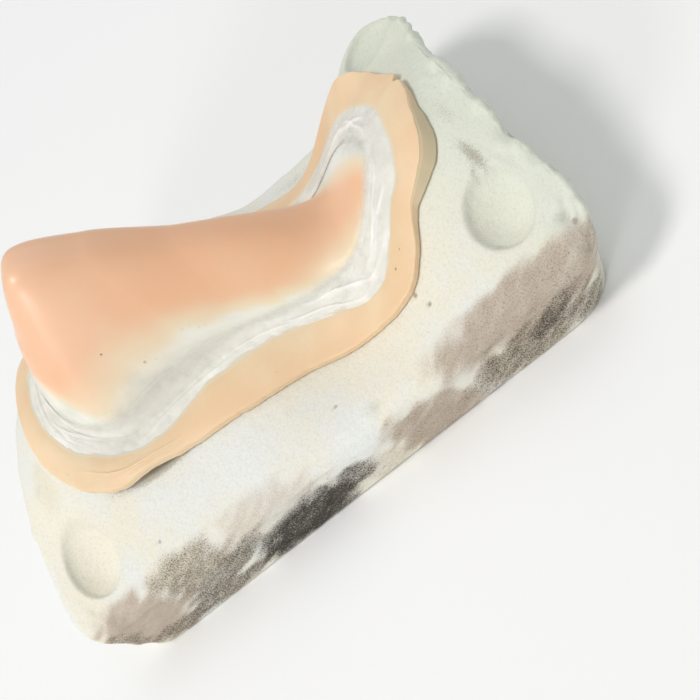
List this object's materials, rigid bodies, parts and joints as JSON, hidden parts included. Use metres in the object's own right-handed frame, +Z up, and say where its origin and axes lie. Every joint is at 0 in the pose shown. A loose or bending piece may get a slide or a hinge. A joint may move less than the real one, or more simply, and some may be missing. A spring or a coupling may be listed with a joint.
{
  "type": "prosthetic nose on plaster casting block",
  "caption": "Cast silicone false nose with a thin clear film edge and a ring of silicone flash, lying on the plaster block it was cast on; worn over a performer's own nose.",
  "frame": {"origin": "on the floor, on the flat underside of the block, below the middle of the nose's base", "axes": "+Y from the lip end to the brow end, +Z up, the way the nose stands out, +X to the long wall of the block that the picture shows"},
  "size_m": [0.0653, 0.1076, 0.0533],
  "materials": {
    "plaster": "dry chalky cast plaster, specked, with grey and brown stains on one wall",
    "nose_silicone": "soft translucent peach silicone with a faint sheen, fading to clear at its rim",
    "clear_film": "thin clear film, wrinkled and glossy over the plaster",
    "flash_silicone": "pale peach silicone, satin, with fine creases and a few pits"
  },
  "bodies": {
    "root": {"plaster_block": "plaster", "nose_body": "nose_silicone", "film_edge": "clear_film", "flash_rim": "flash_silicone"}
  },
  "joints": []
}
